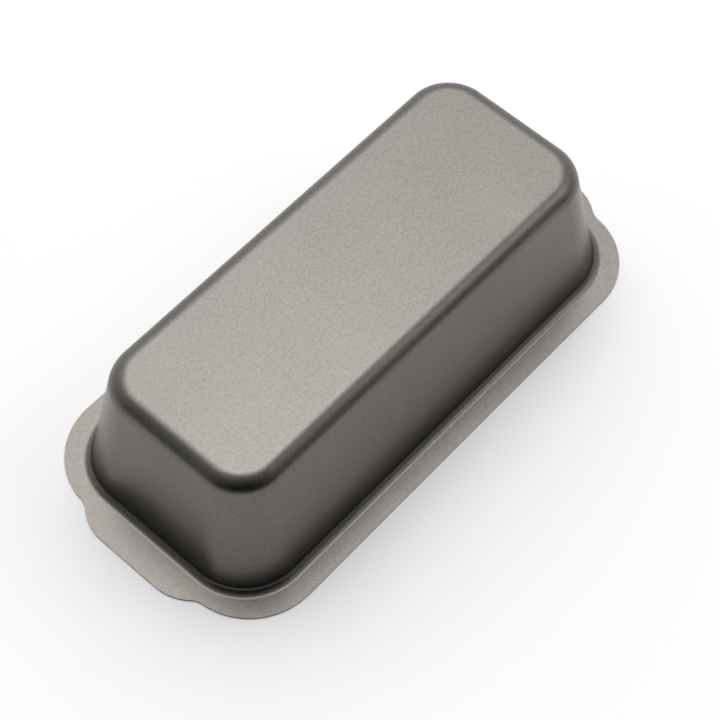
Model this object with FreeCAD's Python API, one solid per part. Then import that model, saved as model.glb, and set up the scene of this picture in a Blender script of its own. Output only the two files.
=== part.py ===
"""Deep loaf pan pressed from one coated steel sheet, standing on its rim with the base up.

The pan is three bonded layers of the same form: the steel pressing and a non-stick film on each of
its faces. The sheet is coated flat, pressed and then trimmed, so the trimmed edge shows bare steel.
Origin: centre of the rim, on the surface that the rim rests on. +X runs along the pan, +Z is up,
through the base. All lengths are in millimetres.
"""
import FreeCAD
import Part
import math
import os

# Driving dimensions: the whole pan
OVERALL_LENGTH = 280.0
OVERALL_WIDTH = 133.0
OVERALL_HEIGHT = 69.2

# The coated sheet
STEEL_THICKNESS = 0.8
FILM_THICKNESS = 0.05
SHEET_THICKNESS = STEEL_THICKNESS + 2.0 * FILM_THICKNESS

# Outside of the walls, where they would meet the resting plane and the base if nothing was rounded
MOUTH_HALF_LENGTH = 123.9
MOUTH_HALF_WIDTH = 55.2
MOUTH_CORNER_RADIUS = 27.5
BASE_CORNER_RADIUS = 20.5
END_SLOPE = 0.191
SIDE_SLOPE = 0.171

# Rounding of the outside, between the base and the walls and between the walls and the rim
BASE_EDGE_RADIUS = 8.8
RIM_EDGE_RADIUS = 4.0

# Outline of the flat rim: large corner arcs, and a shallow tab on each short end
RIM_CORNER_RADIUS = 33.4
RIM_CORNER_X = 99.0
TAB_STRAIGHT_HALF_WIDTH = 16.25
TAB_CORNER_RADIUS = 24.2
TAB_NOTCH_RADIUS = 9.5

# The forms that are cut from each other reach this far below the resting plane
UNDERCUT = 5.0
TOLERANCE = 0.01


def on_circle(centre, radius, angle):
    """The point at an angle (radians) on a level circle."""
    return FreeCAD.Vector(
        centre.x + radius * math.cos(angle), centre.y + radius * math.sin(angle), centre.z
    )


def mirrored(points, side_x, side_y):
    """Points of the first quadrant moved to another one, which the two signs name."""
    return [FreeCAD.Vector(side_x * point.x, side_y * point.y, point.z) for point in points]


def arc_points(centre, radius, start_angle, end_angle):
    """The start, middle and end of an arc."""
    angles = (start_angle, 0.5 * (start_angle + end_angle), end_angle)
    return [on_circle(centre, radius, angle) for angle in angles]


def closed_outline(quarter_arcs):
    """The edges of a closed outline, in order, from the arcs of its first quadrant.

    Each arc is three points, and the arcs run from the long side (+Y) to the short end (+X). The
    other quadrants mirror them, and straight edges join what is left open.
    """
    backwards = [points[::-1] for points in reversed(quarter_arcs)]
    arcs = []
    for side_x, side_y, quarter in (
        (1, 1, quarter_arcs),
        (1, -1, backwards),
        (-1, -1, quarter_arcs),
        (-1, 1, backwards),
    ):
        arcs.extend(mirrored(points, side_x, side_y) for points in quarter)
    edges = []
    for points, following in zip(arcs, arcs[1:] + arcs[:1]):
        edges.append(Part.Arc(*points).toShape())
        if points[-1].distanceToPoint(following[0]) > TOLERANCE:
            edges.append(Part.LineSegment(points[-1], following[0]).toShape())
    return edges


def wall_outline(half_length, half_width, radius, height):
    """The rounded rectangle that the walls follow at one height."""
    corner = FreeCAD.Vector(half_length - radius, half_width - radius, height)
    return closed_outline([arc_points(corner, radius, math.pi / 2.0, 0.0)])


def rim_outline(height):
    """The trimmed edge of the rim: corner arc, notch arc, tab corner arc and straight tab end."""
    corner = FreeCAD.Vector(RIM_CORNER_X, OVERALL_WIDTH / 2.0 - RIM_CORNER_RADIUS, height)
    tab = FreeCAD.Vector(
        OVERALL_LENGTH / 2.0 - TAB_CORNER_RADIUS, TAB_STRAIGHT_HALF_WIDTH, height
    )
    # The notch arc touches both the corner arc and the tab's corner arc from outside.
    to_tab = tab - corner
    gap = to_tab.Length
    reach_corner = RIM_CORNER_RADIUS + TAB_NOTCH_RADIUS
    reach_tab = TAB_CORNER_RADIUS + TAB_NOTCH_RADIUS
    along = (reach_corner**2 - reach_tab**2 + gap**2) / (2.0 * gap)
    aside = math.sqrt(reach_corner**2 - along**2)
    direction = to_tab / gap
    outward = FreeCAD.Vector(-direction.y, direction.x, 0.0)
    notch = corner + direction * along + outward * aside
    corner_end = math.atan2(notch.y - corner.y, notch.x - corner.x)
    tab_start = math.atan2(notch.y - tab.y, notch.x - tab.x)
    return closed_outline(
        [
            arc_points(corner, RIM_CORNER_RADIUS, math.pi / 2.0, corner_end),
            arc_points(notch, TAB_NOTCH_RADIUS, corner_end + math.pi, tab_start + math.pi),
            arc_points(tab, TAB_CORNER_RADIUS, tab_start, 0.0),
        ]
    )


def wall_face(low, high):
    """The wall between an edge of the lower outline and the edge above it."""
    if isinstance(low.Curve, Part.Line):
        start, end = low.Vertexes[0].Point, low.Vertexes[-1].Point
        high_start, high_end = high.Vertexes[0].Point, high.Vertexes[-1].Point
        return Part.Face(Part.makePolygon([start, end, high_end, high_start, start]))
    return Part.makeRuledSurface(low, high)


def wall_form(depth):
    """The solid tub whose walls lie at a depth inside the outside face of the walls."""
    end_shift = depth * math.hypot(1.0, END_SLOPE)
    side_shift = depth * math.hypot(1.0, SIDE_SLOPE)
    corner_shift = 0.5 * (end_shift + side_shift)
    taper = (MOUTH_CORNER_RADIUS - BASE_CORNER_RADIUS) / OVERALL_HEIGHT

    def outline_at(height):
        return wall_outline(
            MOUTH_HALF_LENGTH - END_SLOPE * height - end_shift,
            MOUTH_HALF_WIDTH - SIDE_SLOPE * height - side_shift,
            MOUTH_CORNER_RADIUS - taper * height - corner_shift,
            height,
        )

    low, high = outline_at(-UNDERCUT), outline_at(OVERALL_HEIGHT - depth)
    faces = [wall_face(*edges) for edges in zip(low, high)]
    faces.extend(Part.Face(Part.Wire(outline)) for outline in (low, high))
    shell = Part.makeShell(faces)
    shell.sewShape()
    return Part.makeSolid(shell)


def is_level(edge, height):
    """Whether an edge lies in one level plane."""
    box = edge.BoundBox
    return abs(box.ZMin - height) < TOLERANCE and abs(box.ZMax - height) < TOLERANCE


def is_inside_mouth(edge):
    """Whether an edge belongs to the walls rather than to the block that stands for the rim."""
    middle = edge.valueAt(0.5 * (edge.FirstParameter + edge.LastParameter))
    return abs(middle.x) < MOUTH_HALF_LENGTH and abs(middle.y) < MOUTH_HALF_WIDTH


def pan_form(depth):
    """Everything under one face of the sheet: the filled tub on a block wider than the rim."""
    rim_top = SHEET_THICKNESS - depth
    base_top = OVERALL_HEIGHT - depth
    length = OVERALL_LENGTH + 2.0 * UNDERCUT
    width = OVERALL_WIDTH + 2.0 * UNDERCUT
    block = Part.makeBox(
        length, width, UNDERCUT + rim_top, FreeCAD.Vector(-length / 2.0, -width / 2.0, -UNDERCUT)
    )
    form = block.fuse(wall_form(depth)).removeSplitter()
    rim_edges = [e for e in form.Edges if is_level(e, rim_top) and is_inside_mouth(e)]
    form = form.makeFillet(RIM_EDGE_RADIUS + depth, rim_edges)
    base_edges = [e for e in form.Edges if is_level(e, base_top)]
    return form.makeFillet(BASE_EDGE_RADIUS - depth, base_edges)


def trim_form():
    """The space above the resting plane and within the trimmed edge of the rim."""
    face = Part.Face(Part.Wire(rim_outline(0.0)))
    return face.extrude(FreeCAD.Vector(0.0, 0.0, OVERALL_HEIGHT + UNDERCUT))


def build_layers():
    """The three layers of the sheet by node name, from the outside of the pan to its inside."""
    thicknesses = {
        "outside_coating": FILM_THICKNESS,
        "steel_pressing": STEEL_THICKNESS,
        "inside_coating": FILM_THICKNESS,
    }
    trim = trim_form()
    layers = {}
    depth = 0.0
    outer = pan_form(depth)
    for name, thickness in thicknesses.items():
        depth += thickness
        inner = pan_form(depth)
        layers[name] = outer.common(trim).cut(inner).Solids[0]
        outer = inner
    return layers


def main():
    """Write each layer to its own STEP file and print its size."""
    os.makedirs("parts", exist_ok=True)
    for name, shape in build_layers().items():
        box = shape.optimalBoundingBox(True, False)
        print(
            f"{name}: valid {shape.isValid()}, volume {shape.Volume:.1f}, area {shape.Area:.0f}, "
            f"z {box.ZMin:.3f} to {box.ZMax:.3f}, size {box.XLength:.2f} x {box.YLength:.2f}"
        )
        shape.exportStep(f"parts/{name}.step")


main()
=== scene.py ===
"""The looks of a deep loaf pan that stands on its rim, base up, on a pale studio floor.

The pan is pressed from one sheet of steel with a non-stick film on each face. The CAD model holds
the three layers and their sizes. This script draws the same three layers with smooth surfaces,
dresses them in their finishes, and adds the floor, the lights and the camera. Lengths are in metres.
"""

import logging
import math
from dataclasses import dataclass, field
from enum import Enum
from typing import Callable, Iterable, Union

import bmesh
import bpy
from mathutils import Matrix, Vector


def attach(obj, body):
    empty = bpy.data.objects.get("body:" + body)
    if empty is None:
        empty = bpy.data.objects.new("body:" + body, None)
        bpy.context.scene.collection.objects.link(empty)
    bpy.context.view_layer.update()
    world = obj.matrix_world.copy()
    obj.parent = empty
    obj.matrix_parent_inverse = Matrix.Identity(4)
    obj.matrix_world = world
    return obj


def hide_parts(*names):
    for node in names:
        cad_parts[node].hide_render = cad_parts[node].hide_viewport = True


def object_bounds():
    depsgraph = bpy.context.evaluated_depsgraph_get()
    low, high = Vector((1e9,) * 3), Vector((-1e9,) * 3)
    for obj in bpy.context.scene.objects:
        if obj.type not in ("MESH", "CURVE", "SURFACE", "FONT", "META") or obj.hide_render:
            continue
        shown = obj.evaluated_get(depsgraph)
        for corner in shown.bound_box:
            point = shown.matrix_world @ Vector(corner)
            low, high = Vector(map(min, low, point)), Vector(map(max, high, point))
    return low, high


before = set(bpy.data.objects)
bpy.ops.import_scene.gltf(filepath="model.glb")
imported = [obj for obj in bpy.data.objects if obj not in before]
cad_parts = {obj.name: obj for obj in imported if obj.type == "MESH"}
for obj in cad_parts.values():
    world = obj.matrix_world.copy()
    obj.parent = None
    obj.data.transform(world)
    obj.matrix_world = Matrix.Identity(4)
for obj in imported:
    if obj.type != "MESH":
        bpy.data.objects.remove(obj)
CAD_LOW, CAD_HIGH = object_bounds()
BODY = "root"
MM = 0.001
HALF = 0.5
QUARTER_TURN = math.pi / 2.0
UPRIGHT = (0.0, 0.0, 1.0)
# Two places closer than this are the same
SNAP = 0.02 * MM
# A positive spin turns clockwise from above
SPIN_SIGN = -1.0
# The bevel's profile that makes a true arc
ARC_PROFILE = 0.5
# Light from the room is a little greener than light from the lamps overhead
ROOM_TINT = (0.965, 1.0, 0.975)

log = logging.getLogger("loaf_pan")


# --------------------------------------------------------------------------------------------------
# Mesh work
# --------------------------------------------------------------------------------------------------


def deselect_all() -> None:
    """Leave object mode clean, with nothing selected."""
    if bpy.context.object is not None and bpy.context.object.mode != "OBJECT":
        bpy.ops.object.mode_set(mode="OBJECT")
    bpy.ops.object.select_all(action="DESELECT")


def make_active(piece: bpy.types.Object) -> None:
    """Select one object only, and make it the active one.

    Args:
        piece: The object to work on.
    """
    deselect_all()
    piece.select_set(True)
    bpy.context.view_layer.objects.active = piece


def select_vertices(piece: bpy.types.Object, wanted: Callable[[Vector], bool]) -> None:
    """Select, in edit mode, the vertices whose place passes a test.

    Args:
        piece: The object in edit mode.
        wanted: The test on a vertex's place.
    """
    mesh = bmesh.from_edit_mesh(piece.data)
    bpy.ops.mesh.select_mode(type="VERT")
    bpy.ops.mesh.select_all(action="DESELECT")
    for vertex in mesh.verts:
        if wanted(vertex.co):
            vertex.select_set(True)
    mesh.select_flush_mode()
    bmesh.update_edit_mesh(piece.data)


def apply_modifier(piece: bpy.types.Object, kind: str, **settings: object) -> None:
    """Add a modifier to a piece and apply it at once.

    Args:
        piece: The object, in object mode.
        kind: The modifier's type.
        settings: The modifier's settings by name.
    """
    make_active(piece)
    modifier = piece.modifiers.new(kind.title(), kind)
    for name, value in settings.items():
        setattr(modifier, name, value)
    bpy.ops.object.modifier_apply(modifier=modifier.name)


def copy_of(piece: bpy.types.Object, name: str) -> bpy.types.Object:
    """A copy of a piece with a mesh of its own.

    Args:
        piece: The object to copy.
        name: The copy's name.

    Returns:
        The copy, selected and active.
    """
    make_active(piece)
    bpy.ops.object.duplicate(linked=False)
    duplicate = bpy.context.object
    duplicate.name = name
    duplicate.data.name = name
    return duplicate


class OutlinePen:
    """Draws a chain of edges in edit mode, from a start point, as straight runs and true arcs."""

    def __init__(self, start: Vector) -> None:
        """Put the pen down.

        Args:
            start: The chain's first point.
        """
        bpy.ops.mesh.select_all(action="DESELECT")
        # A tiny plane, merged to its centre, is the chain's first vertex.
        bpy.ops.mesh.primitive_plane_add(size=MM, location=start)
        bpy.ops.mesh.merge(type="CENTER")
        self.place = start.copy()

    def line_to(self, end: Vector, steps: int = 1) -> None:
        """Draw a straight run.

        Args:
            end: The run's last point.
            steps: How many edges the run has.
        """
        stride = (end - self.place) / steps
        for _ in range(steps):
            bpy.ops.mesh.extrude_region_move(TRANSFORM_OT_translate={"value": stride})
        self.place = end.copy()

    def arc(self, centre: Vector, turn: float, steps: int) -> None:
        """Draw a level arc.

        Args:
            centre: The arc's centre.
            turn: The angle that the arc goes through, in radians, anticlockwise from above.
            steps: How many edges the arc has.
        """
        bpy.ops.mesh.spin(steps=steps, angle=SPIN_SIGN * turn, center=centre, axis=UPRIGHT)
        self.place = centre + Matrix.Rotation(turn, 3, "Z") @ (self.place - centre)


# --------------------------------------------------------------------------------------------------
# The pressed sheet
# --------------------------------------------------------------------------------------------------


@dataclass(frozen=True)
class RimOutline:
    """The trimmed edge of the rim: large corner arcs and a shallow tab on each short end."""

    half_length: float
    half_width: float
    corner_radius: float = 33.4 * MM
    corner_x: float = 99.0 * MM
    tab_straight: float = 16.25 * MM
    tab_radius: float = 24.2 * MM
    notch_radius: float = 9.5 * MM

    def corner_centre(self, height: float) -> Vector:
        """The centre of the first quadrant's corner arc."""
        return Vector((self.corner_x, self.half_width - self.corner_radius, height))

    def tab_centre(self, height: float) -> Vector:
        """The centre of the arc at the tab's corner."""
        return Vector((self.half_length - self.tab_radius, self.tab_straight, height))

    def notch_centre(self, height: float) -> Vector:
        """The centre of the notch's arc, which touches the corner arc and the tab's arc.

        Args:
            height: The outline's height.

        Returns:
            The centre, outside the sheet.
        """
        corner, tab = self.corner_centre(height), self.tab_centre(height)
        gap = (tab - corner).length
        reach_corner = self.corner_radius + self.notch_radius
        reach_tab = self.tab_radius + self.notch_radius
        along = (reach_corner**2 - reach_tab**2 + gap**2) / (2.0 * gap)
        aside = math.sqrt(reach_corner**2 - along**2)
        direction = (tab - corner) / gap
        return corner + direction * along + Vector((-direction.y, direction.x, 0.0)) * aside


@dataclass(frozen=True)
class WallOutline:
    """The rounded rectangle that the outside of the walls follows, before any edge is rounded."""

    full_height: float
    half_length: float = 123.9 * MM
    half_width: float = 55.2 * MM
    mouth_radius: float = 27.5 * MM
    base_radius: float = 20.5 * MM
    end_slope: float = 0.191
    side_slope: float = 0.171

    def at(self, height: float) -> tuple[float, float, float]:
        """Half length, half width and corner radius at a height.

        Args:
            height: The height above the plane that the rim rests on.

        Returns:
            The three sizes.
        """
        taper = (self.mouth_radius - self.base_radius) / self.full_height
        return (
            self.half_length - self.end_slope * height,
            self.half_width - self.side_slope * height,
            self.mouth_radius - taper * height,
        )

    def tangent_share(self) -> float:
        """How far a rounded edge reaches along each face, as a share of its radius."""
        lean = math.atan((self.end_slope + self.side_slope) / 2.0)
        return math.tan((QUARTER_TURN - lean) / 2.0)


@dataclass
class PressedFace:
    """The outside face of the sheet: rim, walls and base in one surface, with its round edges."""

    height: float
    sheet: float
    rim: RimOutline
    walls: WallOutline
    base_edge_radius: float = 8.8 * MM
    rim_edge_radius: float = 4.0 * MM
    corner_steps: int = 28
    notch_steps: int = 8
    tab_steps: int = 12
    base_edge_steps: int = 16
    rim_edge_steps: int = 12

    def build(self) -> bpy.types.Object:
        """Draw one quarter, mirror it, close the base and round the edges.

        Returns:
            The surface, one sheet of faces that point outwards.
        """
        deselect_all()
        bpy.ops.mesh.primitive_plane_add(location=(0.0, 0.0, 0.0))
        face = bpy.context.object
        face.name = "pressed_face"
        # The plane only gives an object to draw in.
        bpy.ops.object.mode_set(mode="EDIT")
        bpy.ops.mesh.select_all(action="SELECT")
        bpy.ops.mesh.delete(type="VERT")
        self._draw_rim_quarter()
        self._draw_wall_quarter(self.sheet)
        self._draw_wall_quarter(self.height)
        self._bridge(face, lambda place: place.z > self.height - SNAP or self._on_foot(place))
        self._bridge(face, lambda place: place.z < self.sheet + SNAP)
        bpy.ops.object.mode_set(mode="OBJECT")
        apply_modifier(face, "MIRROR", use_axis=(True, True, False), merge_threshold=SNAP)
        self._close_base(face)
        self._round_edges(face)
        return face

    def _draw_rim_quarter(self) -> None:
        """Draw the first quadrant of the trimmed edge, from the long side to the tab's middle."""
        rim, level = self.rim, self.sheet
        corner, tab, notch = (
            rim.corner_centre(level),
            rim.tab_centre(level),
            rim.notch_centre(level),
        )
        corner_end = math.atan2(notch.y - corner.y, notch.x - corner.x)
        tab_start = math.atan2(notch.y - tab.y, notch.x - tab.x)
        pen = OutlinePen(Vector((0.0, rim.half_width, level)))
        pen.line_to(Vector((rim.corner_x, rim.half_width, level)))
        pen.arc(corner, corner_end - QUARTER_TURN, self.corner_steps)
        pen.arc(notch, tab_start - corner_end, self.notch_steps)
        pen.arc(tab, -tab_start, self.tab_steps)
        pen.line_to(Vector((rim.half_length, 0.0, level)))

    def _draw_wall_quarter(self, level: float) -> None:
        """Draw the first quadrant of the walls' outline at a height, step for step as the rim's.

        Args:
            level: The height.
        """
        half_length, half_width, radius = self.walls.at(level)
        corner = Vector((half_length - radius, half_width - radius, level))
        pen = OutlinePen(Vector((0.0, half_width, level)))
        pen.line_to(Vector((corner.x, half_width, level)))
        pen.arc(corner, -QUARTER_TURN, self.corner_steps)
        pen.line_to(Vector((half_length, 0.0, level)), self.notch_steps + self.tab_steps + 1)

    def _on_foot(self, place: Vector) -> bool:
        """Whether a place is on the line where the walls meet the rim.

        Args:
            place: A vertex's place.

        Returns:
            True on that line, and inside it at the rim's level.
        """
        half_length, half_width, _ = self.walls.at(self.sheet)
        level = abs(place.z - self.sheet) < SNAP
        return level and abs(place.x) < half_length + SNAP and abs(place.y) < half_width + SNAP

    def _bridge(self, face: bpy.types.Object, wanted: Callable[[Vector], bool]) -> None:
        """Span the two chains of edges that a test picks out.

        Args:
            face: The object in edit mode.
            wanted: The test on a vertex's place.
        """
        select_vertices(face, wanted)
        bpy.ops.mesh.bridge_edge_loops()

    def _close_base(self, face: bpy.types.Object) -> None:
        """Fill the opening at the top of the walls with the flat base.

        Args:
            face: The object, in object mode.
        """
        make_active(face)
        bpy.ops.object.mode_set(mode="EDIT")
        select_vertices(face, lambda place: place.z > self.height - SNAP)
        bpy.ops.mesh.edge_face_add()
        bpy.ops.mesh.select_all(action="SELECT")
        bpy.ops.mesh.normals_make_consistent(inside=False)
        bpy.ops.object.mode_set(mode="OBJECT")

    def _round_edges(self, face: bpy.types.Object) -> None:
        """Round the base edge and the line where the walls meet the rim.

        Args:
            face: The object, in object mode.
        """
        make_active(face)
        bpy.ops.object.mode_set(mode="EDIT")
        share = self.walls.tangent_share()
        select_vertices(face, lambda place: place.z > self.height - SNAP)
        bpy.ops.mesh.bevel(
            offset=self.base_edge_radius * share,
            segments=self.base_edge_steps,
            profile=ARC_PROFILE,
        )
        select_vertices(face, self._on_foot)
        bpy.ops.mesh.bevel(
            offset=self.rim_edge_radius * share,
            segments=self.rim_edge_steps,
            profile=ARC_PROFILE,
        )
        bpy.ops.object.mode_set(mode="OBJECT")


@dataclass
class SheetLayer:
    """One layer of the sheet: a closed solid between two depths under the outside face."""

    name: str
    node: str
    slot: str
    depth: float
    thickness: float
    smooth_angle: float = math.radians(35.0)

    def build(self, face: bpy.types.Object) -> bpy.types.Object:
        """Make the layer from a copy of the outside face.

        Args:
            face: The outside face.

        Returns:
            The layer's object.
        """
        piece = copy_of(face, self.name)
        if self.depth > 0.0:
            bpy.ops.object.mode_set(mode="EDIT")
            bpy.ops.mesh.select_all(action="SELECT")
            bpy.ops.transform.shrink_fatten(value=-self.depth, use_even_offset=True)
            bpy.ops.object.mode_set(mode="OBJECT")
        apply_modifier(
            piece,
            "SOLIDIFY",
            thickness=self.thickness,
            offset=-1.0,
            use_even_offset=True,
            use_quality_normals=True,
        )
        make_active(piece)
        bpy.ops.object.shade_smooth_by_angle(angle=self.smooth_angle)
        apply_modifier(piece, "WEIGHTED_NORMAL", keep_sharp=True)
        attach(piece, BODY)
        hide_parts(self.node)
        return piece


# --------------------------------------------------------------------------------------------------
# Shader work
# --------------------------------------------------------------------------------------------------

Number = Union[float, "Signal"]
Colour = tuple[float, float, float, float]
# The average of a noise pattern
MIDDLE = 0.5


@dataclass(frozen=True)
class Grain:
    """A noise pattern's size in metres, how many finer octaves it has, and how strong they are."""

    size: float
    detail: float
    strength: float


class Signal:
    """A shader socket that carries one number. Expressions on signals add Math nodes."""

    def __init__(self, graph: "Graph", socket: bpy.types.NodeSocket) -> None:
        """Wrap a socket.

        Args:
            graph: The graph that the socket's node is in.
            socket: The output socket.
        """
        self.graph = graph
        self.socket = socket

    def _math(self, operation: str, *values: Number) -> "Signal":
        """The result of a Math node."""
        inputs = dict(enumerate(values))
        return self.graph.signal("ShaderNodeMath", {"operation": operation}, inputs)

    def __add__(self, other: Number) -> "Signal":
        """Sum."""
        return self._math("ADD", self, other)

    __radd__ = __add__

    def __mul__(self, other: Number) -> "Signal":
        """Product."""
        return self._math("MULTIPLY", self, other)

    __rmul__ = __mul__

    def __sub__(self, other: Number) -> "Signal":
        """Difference."""
        return self._math("SUBTRACT", self, other)

    def __rsub__(self, other: Number) -> "Signal":
        """Difference, the other way round."""
        return self._math("SUBTRACT", other, self)

    def __pow__(self, other: Number) -> "Signal":
        """Power."""
        return self._math("POWER", self, other)

    def clamped(self) -> "Signal":
        """The number, kept between nothing and one."""
        return self.graph.signal("ShaderNodeClamp", {}, {"Value": self})


class Graph:
    """The node tree of one material or of the surroundings."""

    def __init__(self, tree: bpy.types.NodeTree) -> None:
        """Start from an empty tree.

        Args:
            tree: The tree to fill.
        """
        self.tree = tree
        self.tree.nodes.clear()

    def node(self, kind: str, settings: dict, inputs: dict) -> bpy.types.Node:
        """Add any node.

        Args:
            kind: The node's type.
            settings: Its settings by name, which are set first.
            inputs: Values or links by socket name or number.

        Returns:
            The node.
        """
        made = self.tree.nodes.new(kind)
        for name, value in settings.items():
            setattr(made, name, value)
        for key, value in inputs.items():
            if isinstance(value, Signal):
                self.tree.links.new(value.socket, made.inputs[key])
            elif isinstance(value, bpy.types.NodeSocket):
                self.tree.links.new(value, made.inputs[key])
            else:
                made.inputs[key].default_value = value
        return made

    def signal(self, kind: str, settings: dict, inputs: dict) -> Signal:
        """Add a node and wrap its first output."""
        return Signal(self, self.node(kind, settings, inputs).outputs[0])

    def noise(self, place: bpy.types.NodeSocket, grain: Grain) -> Signal:
        """A noise pattern on Object coordinates.

        Args:
            place: The coordinates.
            grain: The pattern's size and character.

        Returns:
            The pattern, about one half on average.
        """
        made = self.node(
            "ShaderNodeTexNoise",
            {"noise_dimensions": "3D"},
            {
                "Vector": place,
                "Scale": 1.0 / grain.size,
                "Detail": grain.detail,
                "Roughness": grain.strength,
            },
        )
        return Signal(self, made.outputs["Fac"])

    def blend(self, share: Signal, first: Colour, second: Colour) -> bpy.types.NodeSocket:
        """A colour between two.

        Args:
            share: How much of the second colour it has, from nothing to one.
            first: The colour at nothing.
            second: The colour at one.

        Returns:
            The mixed colour's socket.
        """
        made = self.node(
            "ShaderNodeMix",
            {"data_type": "RGBA", "clamp_factor": True},
            {0: share, 6: first, 7: second},
        )
        return made.outputs[2]

    def along(self, direction: bpy.types.NodeSocket, axis: Iterable[float]) -> Signal:
        """How far a direction goes along an axis.

        Args:
            direction: The direction's socket.
            axis: The axis.

        Returns:
            Their dot product.
        """
        made = self.node(
            "ShaderNodeVectorMath", {"operation": "DOT_PRODUCT"}, {0: direction, 1: tuple(axis)}
        )
        return Signal(self, made.outputs["Value"])

    def bump(self, height: Signal, distance: float, strength: float) -> bpy.types.NodeSocket:
        """A shallow relief.

        Args:
            height: The relief's pattern.
            distance: The pattern's depth, in metres.
            strength: How much of it shows.

        Returns:
            The socket for a shader's Normal.
        """
        inputs = {"Height": height, "Distance": distance, "Strength": strength}
        return self.node("ShaderNodeBump", {}, inputs).outputs["Normal"]


def surface_material(name: str, dress: Callable[[Graph], dict]) -> bpy.types.Material:
    """Make a material of one Principled shader.

    Args:
        name: The material's name.
        dress: Gives the shader's inputs by name, in the material's graph.

    Returns:
        The material.
    """
    made = bpy.data.materials.new(name)
    made.use_nodes = True
    graph = Graph(made.node_tree)
    shader = graph.node("ShaderNodeBsdfPrincipled", {}, dress(graph))
    graph.node("ShaderNodeOutputMaterial", {}, {"Surface": shader.outputs[0]})
    return made


class Face(Enum):
    """Which face of the sheet a film is on."""

    OUTSIDE = "outside"
    INSIDE = "inside"


@dataclass(frozen=True)
class NonStickFinish:
    """Matt metallic non-stick film: fine metal flake under a thin binder, with a sandy grain."""

    face: Face
    pale: Colour = (0.179, 0.161, 0.148, 1.0)
    deep: Colour = (0.107, 0.102, 0.095, 1.0)
    roughness: float = 0.33
    flake: Grain = Grain(0.55 * MM, 1.0, 0.5)
    sand: Grain = Grain(1.5 * MM, 3.0, 0.6)
    cloud: Grain = Grain(38.0 * MM, 2.0, 0.5)
    flake_contrast: float = 0.85
    sand_contrast: float = 1.28
    cloud_contrast: float = 0.5
    sand_roughness: float = 0.08
    cloud_roughness: float = 0.06
    flake_relief: float = 0.25
    relief: float = 0.020 * MM
    relief_strength: float = 0.5

    def material(self) -> bpy.types.Material:
        """Make the film's material."""
        return surface_material(f"nonstick_film_{self.face.value}", self._dress)

    def _dress(self, graph: Graph) -> dict:
        """Flake, sand and clouds in the film's colour, roughness and relief.

        Args:
            graph: The material's graph.

        Returns:
            The shader's inputs by name.
        """
        place = graph.node("ShaderNodeTexCoord", {}, {}).outputs["Object"]
        flakes = graph.noise(place, self.flake)
        sand = graph.noise(place, self.sand)
        cloud = graph.noise(place, self.cloud)
        fine = (flakes - MIDDLE) * self.flake_contrast + (sand - MIDDLE) * self.sand_contrast
        share = (fine + (cloud - MIDDLE) * self.cloud_contrast + MIDDLE).clamped()
        wear = (sand - MIDDLE) * self.sand_roughness + (cloud - MIDDLE) * self.cloud_roughness
        height = flakes * self.flake_relief + sand
        return {
            "Base Color": graph.blend(share, self.deep, self.pale),
            "Metallic": 1.0,
            "Roughness": wear + self.roughness,
            "Normal": graph.bump(height, self.relief, self.relief_strength),
        }


@dataclass(frozen=True)
class CutSteelFinish:
    """Cold-rolled steel, seen where the sheet was sheared: dark, with fine upright shear marks."""

    pale: Colour = (0.32, 0.31, 0.30, 1.0)
    deep: Colour = (0.16, 0.155, 0.15, 1.0)
    roughness: float = 0.42
    mark: Grain = Grain(0.6 * MM, 2.0, 0.6)
    mark_roughness: float = 0.2
    # Marks are stretched along the thickness of the sheet.
    mark_stretch: tuple[float, float, float] = (1.0, 1.0, 0.15)
    relief: float = 0.02 * MM
    relief_strength: float = 0.3

    def material(self) -> bpy.types.Material:
        """Make the bare steel's material."""
        return surface_material("cut_steel", self._dress)

    def _dress(self, graph: Graph) -> dict:
        """Shear marks in the steel's colour, roughness and relief.

        Args:
            graph: The material's graph.

        Returns:
            The shader's inputs by name.
        """
        place = graph.node("ShaderNodeTexCoord", {}, {}).outputs["Object"]
        stretched = graph.node(
            "ShaderNodeMapping",
            {"vector_type": "POINT"},
            {"Vector": place, "Scale": self.mark_stretch},
        )
        marks = graph.noise(stretched.outputs[0], self.mark)
        return {
            "Base Color": graph.blend(marks, self.deep, self.pale),
            "Metallic": 1.0,
            "Roughness": (marks - MIDDLE) * self.mark_roughness + self.roughness,
            "Normal": graph.bump(marks, self.relief, self.relief_strength),
        }


# --------------------------------------------------------------------------------------------------
# The pan
# --------------------------------------------------------------------------------------------------


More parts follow.
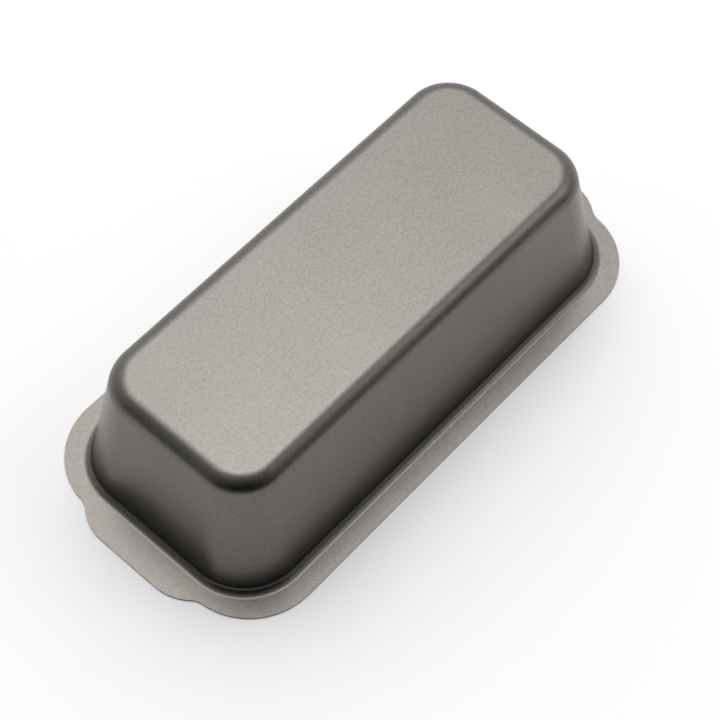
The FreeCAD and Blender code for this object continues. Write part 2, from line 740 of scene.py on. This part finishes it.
@dataclass
class LoafPan:
    """The whole pan: three layers of one pressed sheet."""

    low: Vector
    high: Vector
    film: float = 0.05 * MM
    steel: float = 0.8 * MM
    inside_roughness: float = 0.32
    pieces: list[bpy.types.Object] = field(default_factory=list)

    @property
    def sheet(self) -> float:
        """The thickness of the coated sheet."""
        return self.steel + 2.0 * self.film

    def layers(self) -> list[tuple[SheetLayer, Callable[[], bpy.types.Material]]]:
        """The layers from the outside in, each with the finish that it wears.

        Returns:
            Pairs of a layer and the method that makes its material.
        """
        return [
            (
                SheetLayer("outside_film", "outside_coating", "nonstick_outside", 0.0, self.film),
                NonStickFinish(Face.OUTSIDE).material,
            ),
            (
                SheetLayer("steel_sheet", "steel_pressing", "carbon_steel", self.film, self.steel),
                CutSteelFinish().material,
            ),
            (
                SheetLayer(
                    "inside_film",
                    "inside_coating",
                    "nonstick_inside",
                    self.film + self.steel,
                    self.film,
                ),
                NonStickFinish(Face.INSIDE, roughness=self.inside_roughness).material,
            ),
        ]

    def build(self) -> None:
        """Draw the outside face once and make each layer from it."""
        height = self.high.z - self.low.z
        rim = RimOutline((self.high.x - self.low.x) / 2.0, (self.high.y - self.low.y) / 2.0)
        face = PressedFace(height, self.sheet, rim, WallOutline(height)).build()
        for layer, finish in self.layers():
            piece = layer.build(face)
            piece.data.materials.clear()
            piece.data.materials.append(finish())
            self.pieces.append(piece)
            log.info("%s: %d faces on %s", piece.name, len(piece.data.polygons), layer.node)
        bpy.data.objects.remove(face)


# --------------------------------------------------------------------------------------------------
# The studio
# --------------------------------------------------------------------------------------------------


def bearing(azimuth: float, elevation: float) -> Vector:
    """The direction of a light, as seen from the pan.

    Args:
        azimuth: Degrees round from +X towards +Y.
        elevation: Degrees above the floor.

    Returns:
        The direction, one metre long.
    """
    turn, rise = math.radians(azimuth), math.radians(elevation)
    level = math.cos(rise)
    return Vector((math.cos(turn) * level, math.sin(turn) * level, math.sin(rise)))


@dataclass(frozen=True)
class StudioFloor:
    """A pale matt floor, just under the rim."""

    side: float = 8.0
    gap: float = 0.1 * MM
    # It evens out the tint of the light, so the floor looks white.
    colour: Colour = (0.942, 0.921, 0.933, 1.0)
    roughness: float = 0.9
    specular: float = 0.1

    def build(self) -> None:
        """Lay the floor."""
        deselect_all()
        bpy.ops.mesh.primitive_plane_add(size=self.side, location=(0.0, 0.0, CAD_LOW.z - self.gap))
        floor = bpy.context.object
        floor.name = "studio_floor"
        paper = {
            "Base Color": self.colour,
            "Roughness": self.roughness,
            "Specular IOR Level": self.specular,
        }
        floor.data.materials.append(surface_material("floor_paper", lambda _: paper))


@dataclass(frozen=True)
class SoftBox:
    """A square soft light that looks at the pan."""

    name: str
    azimuth: float
    elevation: float
    side: float
    radiance: float
    distance: float = 3.0
    tint: tuple[float, float, float] = (1.0, 1.0, 1.0)

    def build(self, target: Vector) -> None:
        """Hang the light.

        Args:
            target: The point that it looks at.
        """
        direction = bearing(self.azimuth, self.elevation)
        bpy.ops.object.light_add(type="AREA", location=target + direction * self.distance)
        light = bpy.context.object
        light.name = self.name
        light.data.shape = "SQUARE"
        light.data.size = self.side
        light.data.energy = self.radiance * math.pi * self.side**2
        light.data.color = self.tint
        light.rotation_euler = (-direction).to_track_quat("-Z", "Y").to_euler()


SOFT_BOXES = (
    SoftBox("overhead_box", azimuth=30.0, elevation=76.0, side=1.42, radiance=2.3),
    SoftBox("fill_box", azimuth=105.0, elevation=66.0, side=1.23, radiance=1.3),
    SoftBox("side_box", azimuth=-42.0, elevation=41.0, side=1.23, radiance=1.5, tint=ROOM_TINT),
)


@dataclass(frozen=True)
class Surroundings:
    """The room round the set, which the pan mirrors: pale on one side, dark on the other.

    What shows behind the set is a plain pale backdrop.
    """

    dark: Colour = (0.0, 0.0, 0.0, 1.0)
    pale: Colour = (*ROOM_TINT, 1.0)
    backdrop: Colour = (0.95, 0.95, 0.95, 1.0)
    towards_pale: tuple[float, float, float] = (0.95, 0.88, 0.10)
    glow: float = 3.1
    glow_azimuth: float = 48.0
    glow_elevation: float = 60.0
    glow_falloff: float = 12.0

    def build(self) -> None:
        """Make the world."""
        world = bpy.data.worlds.new("studio_room")
        world.use_nodes = True
        bpy.context.scene.world = world
        graph = Graph(world.node_tree)
        direction = graph.node("ShaderNodeTexCoord", {}, {}).outputs["Generated"]
        overhead = bearing(self.glow_azimuth, self.glow_elevation)
        share = (graph.along(direction, self.towards_pale) * HALF + HALF).clamped()
        room = graph.blend(share, self.dark, self.pale)
        glow = graph.along(direction, overhead).clamped() ** self.glow_falloff * self.glow
        seen = graph.node("ShaderNodeLightPath", {}, {}).outputs["Is Camera Ray"]
        sky = graph.node("ShaderNodeBackground", {}, {"Color": room})
        ceiling = graph.node("ShaderNodeBackground", {}, {"Strength": glow})
        lighting = graph.node(
            "ShaderNodeAddShader", {}, {0: sky.outputs[0], 1: ceiling.outputs[0]}
        )
        behind = graph.node("ShaderNodeBackground", {}, {"Color": self.backdrop})
        surface = graph.node(
            "ShaderNodeMixShader", {}, {0: seen, 1: lighting.outputs[0], 2: behind.outputs[0]}
        )
        graph.node("ShaderNodeOutputWorld", {}, {"Surface": surface.outputs[0]})


@dataclass(frozen=True)
class StudioCamera:
    """A long lens that looks steeply down at the pan from beyond its near corner."""

    lens: float = 100.96
    sensor: float = 36.0
    near: float = 0.01
    far: float = 50.0
    place: tuple[float, float, float] = (-0.3470, -0.3101, 0.7796)
    forward: tuple[float, float, float] = (0.38349719, 0.33608218, -0.86022013)
    right: tuple[float, float, float] = (0.67051925, -0.74183638, 0.00909565)

    def build(self) -> None:
        """Set the camera up and make it the scene's own."""
        forward, right = Vector(self.forward), Vector(self.right)
        up = right.cross(forward)
        turn = Matrix((right, up, -forward)).transposed()
        bpy.ops.object.camera_add(location=self.place)
        camera = bpy.context.object
        camera.name = "studio_camera"
        camera.rotation_euler = turn.to_euler()
        camera.data.lens = self.lens
        camera.data.sensor_width = self.sensor
        camera.data.clip_start = self.near
        camera.data.clip_end = self.far
        bpy.context.scene.camera = camera


def main() -> None:
    """Build the pan and the studio, and report each piece."""
    logging.basicConfig(level=logging.INFO, format="%(name)s: %(message)s")
    bpy.context.scene.view_settings.view_transform = "Standard"
    StudioCamera().build()
    pan = LoafPan(CAD_LOW, CAD_HIGH)
    pan.build()
    target = (CAD_LOW + CAD_HIGH) / 2.0
    StudioFloor().build()
    Surroundings().build()
    for box in SOFT_BOXES:
        box.build(target)
    log.info("the pan has %d pieces", len(pan.pieces))


if __name__ == "__main__":
    main()
